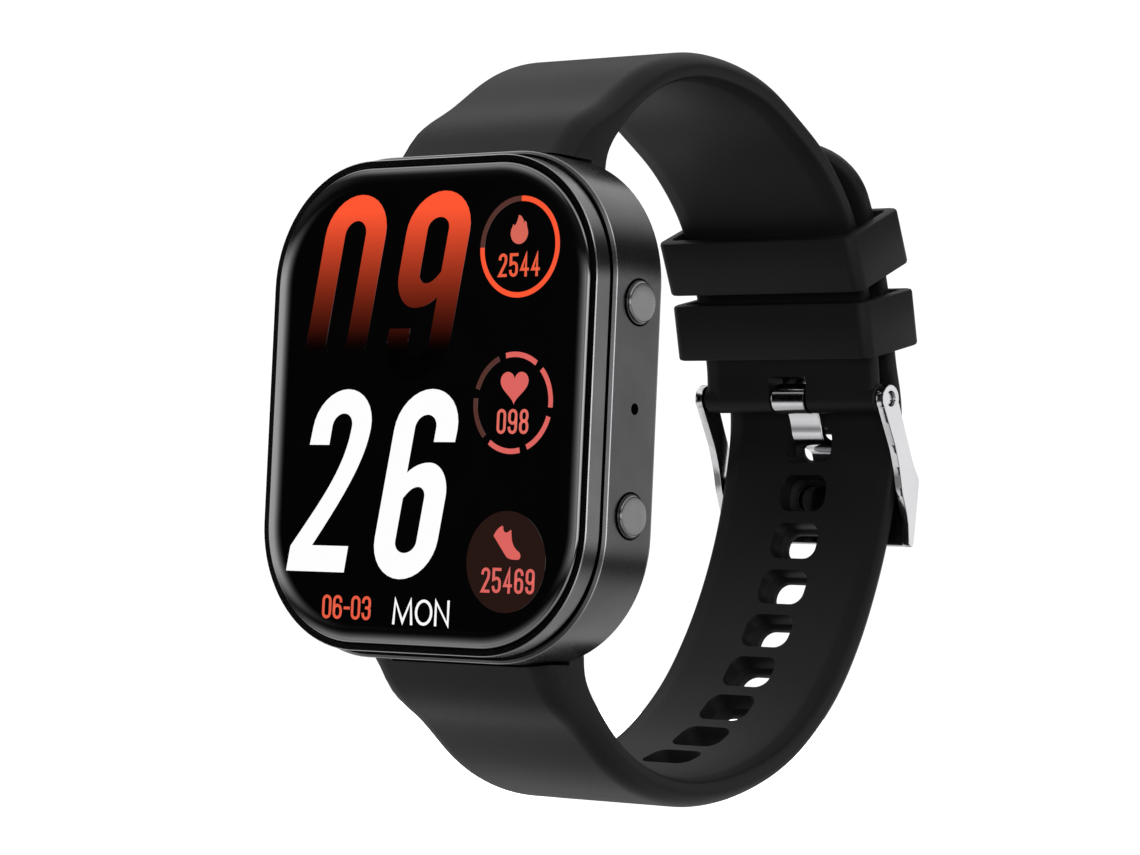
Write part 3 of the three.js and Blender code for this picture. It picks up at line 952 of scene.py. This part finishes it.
# centre lines of a small figure whose lines span wide by high
def figureStrokes(figure, wide, high):
    r = wide / 2
    if figure == "0":
        return [(arc(r, high - r, r, r, 0, 180, 10) + arc(r, r, r, r, 180, 360, 10), True)]
    if figure == "2":
        line = arc(r, high - r, r, r, 180, 0, 10) + [(wide * 0.93, high * 0.6), (0, 0), (wide, 0)]
        return [(line, False)]
    if figure == "3":
        top = arc(r, high - r, r, r, 180, 0, 10)
        top += [(wide, high * 0.6), (wide * 0.8, high * 0.51), (r, high * 0.51)]
        low = [(wide * 0.8, high * 0.51), (wide, high * 0.42)] + arc(r, r, r, r, 0, -180, 10)
        return [(top, False), (low, False)]
    if figure == "4":
        return [([(wide * 0.72, 0), (wide * 0.72, high), (0, high * 0.28), (wide, high * 0.28)], False)]
    if figure == "5":
        line = [(wide, high), (0, high), (0, high * 0.54)] + arc(r, high * 0.6 - r, r, r, 120, 0, 8)
        return [(line + arc(r, r, r, r, 0, -180, 10), False)]
    if figure == "6":
        line = arc(r, high - r, r, r, 0, 180, 10) + arc(r, r, r, r, 180, 360, 10)
        return [(line + arc(r, high * 0.58 - r, r, r, 0, 180, 10), False)]
    if figure == "8":
        low = arc(r, high * 0.52 - r, r, r, 0, 180, 10) + arc(r, r, r, r, 180, 360, 10)
        top = arc(r, high - r, r * 0.92, r, 0, 180, 10)
        top += arc(r, high * 0.52 + r, r * 0.92, r, 180, 360, 10)
        return [(low, True), (top, True)]
    if figure == "9":
        line = figureStrokes("6", wide, high)[0][0]
        return [([(wide - u, high - v) for u, v in line], False)]
    if figure == "M":
        return [([(0, 0), (wide * 0.07, high), (r, high * 0.06), (wide * 0.93, high), (wide, 0)], False)]
    if figure == "O":
        return [(arc(r, high / 2, r, high / 2, 0, 345, 23), True)]
    if figure == "N":
        return [([(0, 0), (0, high), (wide, 0), (wide, high)], False)]
    return [([(0, high * 0.47), (wide, high * 0.47)], False)]


# thin strip along a centre line
def ribbon(line, width, closed, caps=0.5):
    spots = [Vector(p) for p in line]
    if closed and (spots[0] - spots[-1]).length < 1e-6:
        spots.pop()
    kept = [spots[0]]
    for spot in spots[1:]:
        if (spot - kept[-1]).length > 1e-5:
            kept.append(spot)
    if not closed:
        kept[0] += (kept[0] - kept[1]).normalized() * width * caps
        kept[-1] += (kept[-1] - kept[-2]).normalized() * width * caps
    rings = []
    for k, here in enumerate(kept):
        before = kept[k - 1] if closed or k else here * 2 - kept[1]
        after = kept[(k + 1) % len(kept)] if closed or k < len(kept) - 1 else here * 2 - kept[k - 1]
        a, b = (here - before).normalized(), (after - here).normalized()
        side = Vector((-a.y, a.x)) + Vector((-b.y, b.x))
        side = side.normalized() if side.length > 1e-6 else Vector((-a.y, a.x))
        side *= width / 2 / max(side.dot(Vector((-a.y, a.x))), 0.45)
        front, behind = glass["front"] - 2 * screen["sheet"], glass["front"]
        one, other = here + side, here - side
        rings.append([at(one.x, front, one.y), at(other.x, front, other.y),
                      at(other.x, behind, other.y), at(one.x, behind, one.y)])
    return skin(rings, loop=closed)


# a row of small figures
def written(name, figures, start, base, wide, high, pitch, stroke, material):
    points, faces = [], []
    left = start
    for k, figure in enumerate(figures):
        span = wide[k] if isinstance(wide, tuple) else wide
        for line, closed in figureStrokes(figure, span - stroke, high - stroke):
            placed = [(left + stroke / 2 + u, base + stroke / 2 + v) for u, v in line]
            extraPoints, extraFaces = ribbon(placed, stroke, closed)
            faces += [tuple(len(points) + i for i in face) for face in extraFaces]
            points += extraPoints
        left += pitch[k] if isinstance(pitch, tuple) else pitch
    obj = piece(name, points, faces, material, None, None, smooth=0)
    return display(obj)


def makeHours():
    fading = glow("hourLight", screen["orange"], fade=True)
    filled("hourTens", slanted(bigZero(), -9.87, 13.0, 2.25), fading)
    filled("hourUnits", slanted(bigNine(), 0.22, 11.2, 2.2), fading)


def makeMinutes():
    white = glow("minuteLight", screen["white"])
    filled("minuteTens", slanted(bigTwo(), -9.87, -2.2, -16.1), white)
    filled("minuteUnits", slanted(bigSix(), -0.18, -7.5, -16.55), white)
    widths, pitches = (2.5, 2.15, 1.8), (2.78, 2.42, 2.1)
    written("weekday", "MON", -2.35, -20.82, widths, 2.45, pitches, 0.27, white)
    widths, pitches = (1.14, 1.14, 0.74, 1.14, 1.1), (1.37, 1.4, 0.93, 1.38, 1.4)
    dateLight = glow("dateLight", screen["date"])
    written("date", "06-03", -11.33, -20.55, widths, 2.28, pitches, 0.28, dateLight)


dials = {
    "x": 11.2,
    "heights": (14.65, 0.13, -14.6),
    "ring": 4.5,          # middle radius of a ring
    "width": 0.5,
    "disc": 4.72,
}


# a plain drop-shaped flame with a tongue at each side
def flame(x, z):
    left = sweep((-0.15, 1.68), (-0.25, 0.9), (-0.7, 0.55), (-0.62, 0.7), 8)
    body = arc(0, 0, 1.03, 1.03, 150, 390, 24)
    right = [(0.78, 1.0), (0.58, 1.12), (0.5, 0.78), (0.42, 1.25), (0.1, 1.62)]
    loop = left + [(-0.75, 0.85)] + body + right
    return [[(x + u, z + v) for u, v in loop]]


def heart(x, z):
    loop = []
    for i in range(64):
        t = 2 * math.pi * i / 64
        u = 1.66 * math.sin(t) ** 3
        v = (13 * math.cos(t) - 5 * math.cos(2 * t) - 2 * math.cos(3 * t) - math.cos(4 * t)) * 0.105
        loop.append((x + u, z + v))
    return [loop]


# side view of a plain running shoe, toe down to the right
def shoe(x, z):
    loop = sweep((-1.65, 0.62), (-1.5, 1.05), (-1.0, 1.5), (-0.66, 1.58), 8)
    loop += sweep((-0.56, 1.5), (-0.6, 0.9), (-0.1, 0.8), (0.32, 1.2), 8)
    loop += sweep((0.42, 1.2), (0.5, 0.0), (0.7, -0.4), (1.5, -0.85), 10)
    loop += arc(1.3, -1.18, 0.34, 0.34, 40, -90, 6)
    loop += sweep((1.2, -1.52), (0.6, -1.55), (0.2, -1.45), (-0.05, -1.25), 8)
    return [[(x + u, z + v) for u, v in loop]]


def makeDials():
    x, ring, wide = dials["x"], dials["ring"], dials["width"]
    top, middle, bottom = dials["heights"]
    lit, dim, coral = (glow(name + "Light", screen[name]) for name in ("orange", "dim", "coral"))

    def arcRibbon(name, z, start, end, material):
        steps = max(int(abs(end - start) / 4), 4)
        shape = ribbon(arc(x, z, ring, ring, start, end, steps), wide, False, 0)
        display(piece(name, *shape, material, None, None, smooth=0))

    arcRibbon("burnRing", top, 90, -180, lit)
    arcRibbon("burnRingRest", top, 90, 180, dim)
    for k in range(6):
        centre = 79 - 60 * k
        arcRibbon("pulseRing_%d" % (k + 1), middle, centre + 24.5, centre - 24.5, coral if k < 4 else dim)
    disc = arc(x, bottom, dials["disc"], dials["disc"], 0, 357, 119)
    filled("stepDisc", [disc], glow("discLight", screen["disc"]))
    filled("burnIcon", flame(x - 0.12, top + 1.27), glow("flameLight", screen["flame"]))
    filled("pulseIcon", heart(x + 0.1, middle + 1.62), coral)
    icon = filled("stepIcon", shoe(x + 0.1, bottom + 1.75), coral)
    count = written("stepCount", "25469", 8.38, -17.5, 1.03, 2.33, 1.33, 0.28, coral)
    for obj in (icon, count):
        obj.data.transform(Matrix.Translation((0, -2 * screen["sheet"] * mm, 0)))
    written("burnCount", "2544", 8.76, 11.85, 1.0, 2.2, 1.31, 0.28, glow("countLight", screen["count"]))
    written("pulseCount", "098", 9.39, -2.76, 1.07, 2.32, 1.35, 0.28, glow("pulseLight", screen["pulse"]))


makeHours()
makeMinutes()
makeDials()
print("display drawn")


inner = {
    "glass_adhesive": {"colour": (0.01, 0.01, 0.01), "rough": 0.6, "grain": 0.2},
    "touch_display": {"colour": (0.004, 0.004, 0.005), "rough": 0.25, "grain": 0.1, "relief": 0.0005},
    "back_gasket": {"colour": (0.008, 0.008, 0.008), "rough": 0.7, "grain": 0.1},
    "sensor_board": {"colour": (0.01, 0.06, 0.03), "rough": 0.4, "grain": 0.3},
    "sensor_led_left": {"colour": (0.1, 0.5, 0.15), "rough": 0.2, "grain": 0.2},
    "sensor_led_right": {"colour": (0.1, 0.5, 0.15), "rough": 0.2, "grain": 0.2},
    "photodiode_upper": {"colour": (0.02, 0.02, 0.03), "rough": 0.2, "grain": 0.2},
    "photodiode_lower": {"colour": (0.02, 0.02, 0.03), "rough": 0.2, "grain": 0.2},
    "charge_contact_left": {"colour": (0.8, 0.55, 0.22), "metal": 1.0, "rough": 0.25, "grain": 0.1},
    "charge_contact_right": {"colour": (0.8, 0.55, 0.22), "metal": 1.0, "rough": 0.25, "grain": 0.1},
    "main_board": {"colour": (0.01, 0.06, 0.03), "rough": 0.45, "grain": 0.3},
    "processor_shield": {"colour": (0.5, 0.5, 0.51), "metal": 1.0, "rough": 0.35, "grain": 0.15},
    "battery": {"colour": (0.03, 0.03, 0.035), "rough": 0.45, "grain": 0.4},
    "haptic_motor": {"colour": (0.4, 0.4, 0.41), "metal": 1.0, "rough": 0.4, "grain": 0.15},
    "speaker": {"colour": (0.04, 0.04, 0.045), "rough": 0.5, "grain": 0.2},
    "microphone": {"colour": (0.35, 0.35, 0.36), "metal": 1.0, "rough": 0.4, "grain": 0.15},
}


def dressNode(node, material):
    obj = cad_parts[node]
    obj.data.materials.clear()
    obj.data.materials.append(material)


for node, look in inner.items():
    dressNode(node, grainy(node, look))
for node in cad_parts:
    if node.startswith(("lug_", "back_screw", "button_clip")):
        dressNode(node, finish["steel"])
    if node.startswith("button_seal"):
        dressNode(node, finish["seal"])
    if node.startswith("button_switch"):
        dressNode(node, finish["back"])
print("inner pieces dressed")


stage = {
    "floorRadius": 0.42,
    "floorGap": 0.0003,
    "floorColour": (1.0, 1.0, 1.0, 1),
    "floorGlow": 1.1,
}
softLights = {
    "overhead": {"spot": (0.0, 0.02, 0.7), "aim": (0.0, 0.02, 0.0), "size": 0.9, "power": 3.0},
    "sideFill": {"spot": (0.19, -0.24, 0.03), "aim": (0.0, 0.05, 0.0), "size": 0.12, "power": 0.8},
}
room = {
    "strength": 2.0,
    "dark": (-0.52, -0.85, 0.04),    # the dark side of the room
    "darkCore": 0.975,
    "darkRim": 0.78,
    "lamp": (0.62, -0.78, 0.1),      # a softbox on the open side of the room
    "lampCore": 0.92,
    "lampRim": 0.74,
    "lampGain": 1.8,
    # brightness by height, from straight down to straight up
    "bands": ((-1.0, 0.25), (-0.5, 0.7), (-0.24, 0.03), (-0.08, 0.8), (0.1, 0.8), (0.24, 0.02),
              (0.42, 0.04), (0.62, 0.85), (1.0, 0.5)),
    "backdrop": 1.05,
}


# plain pale floor, evenly lit so that no shadow lies on it
def makeFloor():
    lowest = cadBox[0][2] - stage["floorGap"]
    points = [Vector((u, v + 0.02, lowest)) for u, v in circle(stage["floorRadius"], 96)]
    material, _, _, shader = newMaterial("floorPaint")
    shader.inputs["Base Color"].default_value = stage["floorColour"]
    shader.inputs["Roughness"].default_value = 0.7
    shader.inputs["Emission Color"].default_value = stage["floorColour"]
    shader.inputs["Emission Strength"].default_value = stage["floorGlow"]
    obj = piece("floor", points, [tuple(range(len(points)))], material, None, None)
    obj.visible_glossy = False
    obj.visible_diffuse = False


def makeRoom():
    world = bpy.data.worlds.new("room")
    bpy.context.scene.world = world
    world.use_nodes = True
    nodes, links = world.node_tree.nodes, world.node_tree.links
    backdrop = nodes["Background"]
    backdrop.inputs["Color"].default_value = (1, 1, 1, 1)
    backdrop.inputs["Strength"].default_value = room["backdrop"]
    light = nodes.new("ShaderNodeBackground")
    place = nodes.new("ShaderNodeTexCoord")
    axes = nodes.new("ShaderNodeSeparateXYZ")
    rise = nodes.new("ShaderNodeMapRange")
    rise.inputs["From Min"].default_value = -1
    rise.inputs["From Max"].default_value = 1
    bands = nodes.new("ShaderNodeValToRGB")
    bands.color_ramp.interpolation = "EASE"
    while len(bands.color_ramp.elements) < len(room["bands"]):
        bands.color_ramp.elements.new(0.5)
    for stop, (height, level) in zip(bands.color_ramp.elements, room["bands"]):
        stop.position = (height + 1) / 2
        stop.color = (level, level, level, 1)
    dot = nodes.new("ShaderNodeVectorMath")
    dot.operation = "DOT_PRODUCT"
    dot.inputs[1].default_value = Vector(room["dark"]).normalized()
    ramp = nodes.new("ShaderNodeMapRange")
    ramp.interpolation_type = "SMOOTHSTEP"
    ramp.inputs["From Min"].default_value = room["darkCore"]
    ramp.inputs["From Max"].default_value = room["darkRim"]
    ramp.inputs["To Min"].default_value = 0.0
    ramp.inputs["To Max"].default_value = room["strength"]
    links.new(place.outputs["Generated"], dot.inputs[0])
    links.new(dot.outputs["Value"], ramp.inputs["Value"])
    towards = nodes.new("ShaderNodeVectorMath")
    towards.operation = "DOT_PRODUCT"
    towards.inputs[1].default_value = Vector(room["lamp"]).normalized()
    softbox = nodes.new("ShaderNodeMapRange")
    softbox.interpolation_type = "SMOOTHSTEP"
    softbox.inputs["From Min"].default_value = room["lampRim"]
    softbox.inputs["From Max"].default_value = room["lampCore"]
    softbox.inputs["To Min"].default_value = 0.0
    softbox.inputs["To Max"].default_value = room["lampGain"]
    total = nodes.new("ShaderNodeMath")
    total.operation = "ADD"
    links.new(place.outputs["Generated"], towards.inputs[0])
    links.new(towards.outputs["Value"], softbox.inputs["Value"])
    links.new(ramp.outputs["Result"], total.inputs[0])
    links.new(softbox.outputs["Result"], total.inputs[1])
    links.new(total.outputs["Value"], light.inputs["Strength"])
    links.new(place.outputs["Generated"], axes.inputs[0])
    links.new(axes.outputs["Z"], rise.inputs["Value"])
    links.new(rise.outputs["Result"], bands.inputs["Fac"])
    links.new(bands.outputs["Color"], light.inputs["Color"])
    look = nodes.new("ShaderNodeLightPath")
    mix = nodes.new("ShaderNodeMixShader")
    links.new(look.outputs["Is Camera Ray"], mix.inputs[0])
    links.new(light.outputs[0], mix.inputs[1])
    links.new(backdrop.outputs[0], mix.inputs[2])
    links.new(mix.outputs[0], nodes["World Output"].inputs["Surface"])


# wide soft light that shows no image of itself in the glass
def makeSoftLight(name):
    lamp = softLights[name]
    data = bpy.data.lights.new(name, "AREA")
    data.shape = "DISK"
    data.size = lamp["size"]
    data.energy = lamp["power"]
    obj = bpy.data.objects.new(name, data)
    obj.location = lamp["spot"]
    obj.rotation_euler = (Vector(lamp["aim"]) - Vector(lamp["spot"])).to_track_quat("-Z", "Y").to_euler()
    obj.visible_glossy = False
    obj.visible_camera = False
    bpy.context.scene.collection.objects.link(obj)


makeFloor()
makeRoom()
for name in softLights:
    makeSoftLight(name)
bpy.context.scene.view_settings.view_transform = "Standard"
print("stage lit")
